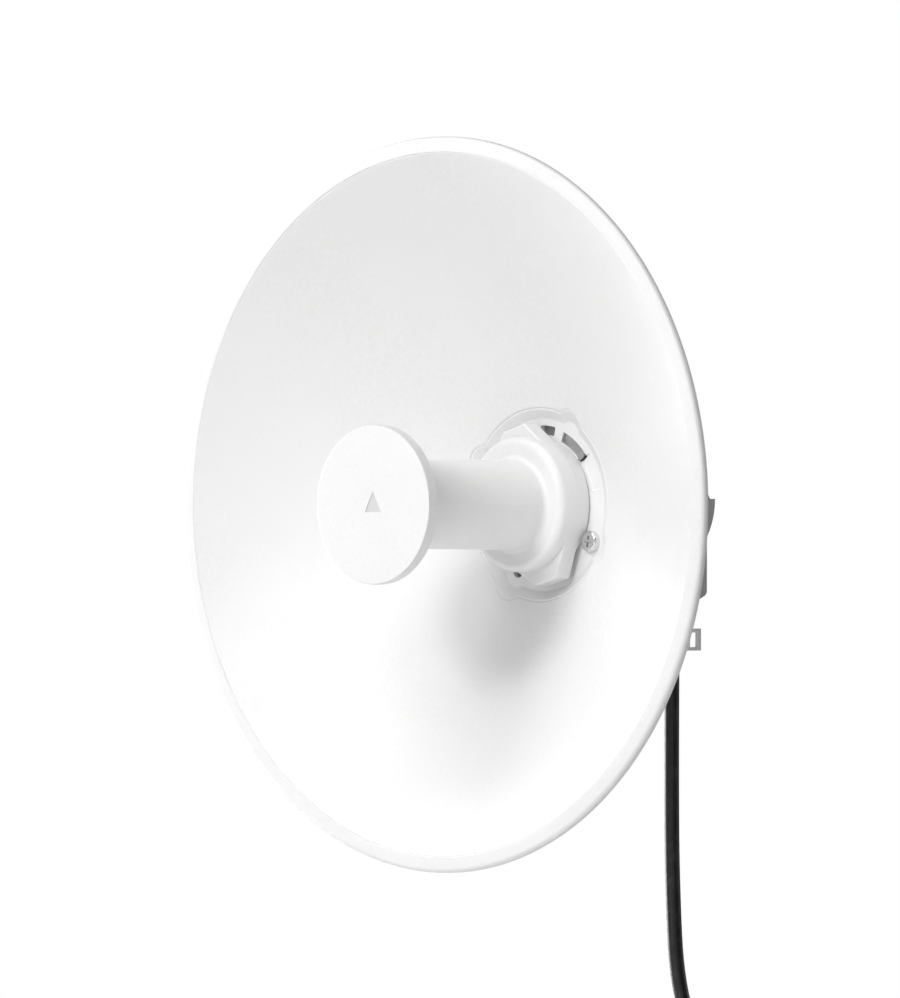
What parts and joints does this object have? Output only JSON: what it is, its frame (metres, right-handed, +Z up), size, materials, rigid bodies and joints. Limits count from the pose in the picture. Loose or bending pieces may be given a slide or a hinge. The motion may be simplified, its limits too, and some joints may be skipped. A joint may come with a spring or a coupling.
{
  "type": "outdoor wireless bridge",
  "caption": "White dish radio on an offset pole bracket, with a splash-plate feed, a tilt joint, band clamps and a hanging data lead.",
  "frame": {"origin": "on the axis of the pole, at the middle of the two band clamps", "axes": "+Z up the pole, the dish looks along -Y, +X from the pole towards the dish's axis"},
  "size_m": [0.355, 0.2171, 0.576],
  "materials": {
    "dish_white": "satin white powder coat",
    "cast_grey": "bare die casting",
    "bright_steel": "bright plated steel",
    "spring_steel": "rolled spring steel",
    "feed_white": "smooth moulded white plastic",
    "bare_aluminium": "turned",
    "clear_plastic": "clear moulded plastic",
    "brass": "turned brass",
    "circuit_board": "green solder mask",
    "black_rubber": "matt rubber",
    "case_white": "fine-textured white plastic",
    "black_plastic": "fine matt",
    "grey_silicone": "soft pad",
    "jack_steel": "stamped steel shell",
    "grey_plastic": "fine matt",
    "cable_black": "semi-matt jacket",
    "bracket_paint": "light grey powder coat",
    "band_steel": "rolled stainless strip",
    "black_fabric": "hook-and-loop tape",
    "gold_contacts": "gold-plated blades"
  },
  "bodies": {
    "pole_mount": {"pole_bracket": "bracket_paint", "band_clamp_upper": "band_steel", "band_clamp_lower": "band_steel", "worm_housing_upper": "band_steel", "worm_housing_lower": "band_steel"},
    "head": {"dish_reflector": "dish_white", "mount_ring": "cast_grey", "dish_screws": "bright_steel", "latch_pin": "bright_steel", "waveguide": "brass", "probe_board": "circuit_board", "backshort": "brass", "feed_seal": "black_rubber", "front_case": "case_white", "case_gasket": "black_rubber", "rear_case": "case_white", "case_screws": "bright_steel", "main_board": "circuit_board", "board_posts": "brass", "board_screws": "bright_steel", "shield_cans": "bright_steel", "processor": "black_plastic", "thermal_pad": "grey_silicone", "ethernet_jack": "jack_steel", "jack_board": "circuit_board", "light_pipes": "clear_plastic", "reset_switch": "black_plastic", "vent_plug": "grey_plastic", "ground_screw": "bright_steel", "gland_body": "case_white", "gland_seal": "black_rubber", "gland_nut": "grey_plastic", "cable_boot": "black_rubber", "inner_lead": "cable_black", "inner_plug": "clear_plastic", "tilt_bracket": "bracket_paint", "pivot_bolt": "bright_steel", "pivot_washer": "bright_steel", "lock_bolt": "bright_steel", "lock_washer": "bright_steel", "ethernet_lead": "cable_black", "lead_coil": "cable_black", "lead_tail": "cable_black", "coil_tie": "black_fabric", "plug_boot": "black_rubber", "plug_body": "clear_plastic", "plug_contacts": "gold_contacts", "plug_latch": "clear_plastic"},
    "feed": {"feed_tube": "feed_white", "subreflector_cap": "feed_white", "subreflector_plate": "bare_aluminium", "feed_spacer": "clear_plastic"},
    "latch": {"lock_latch": "spring_steel"},
    "reset_key": {"reset_button": "grey_plastic"},
    "worm_upper": {"worm_screw_upper": "bright_steel"},
    "worm_lower": {"worm_screw_lower": "bright_steel"}
  },
  "joints": [
    {"name": "elevation_tilt", "type": "hinge", "parent": "pole_mount", "child": "head", "pos_m": [0.0562, -0.0275, 0.0028], "axis": [-1, 0, 0], "range_deg": [-20, 20]},
    {"name": "feed_twist", "type": "hinge", "parent": "head", "child": "feed", "pos_m": [0.112, -0.068, 0], "axis": [0, 1, 0], "range_deg": [0, 34]},
    {"name": "latch_press", "type": "hinge", "parent": "head", "child": "latch", "pos_m": [0.12443, -0.0544, 0.03325], "axis": [0.3502, 0, 0.9367], "range_deg": [0, 5], "stiffness_Nm_per_rad": 0.3, "springref_deg": -5.73},
    {"name": "reset_press", "type": "slide", "parent": "head", "child": "reset_key", "axis": [0, 0, 1], "range_m": [0, 0.001], "stiffness_N_per_m": 400, "springref_m": -0.001},
    {"name": "worm_upper_turn", "type": "hinge", "parent": "pole_mount", "child": "worm_upper", "pos_m": [0, 0.03625, 0.032], "axis": [1, 0, 0], "continuous": true},
    {"name": "worm_lower_turn", "type": "hinge", "parent": "pole_mount", "child": "worm_lower", "pos_m": [0, 0.03625, -0.032], "axis": [1, 0, 0], "continuous": true}
  ]
}
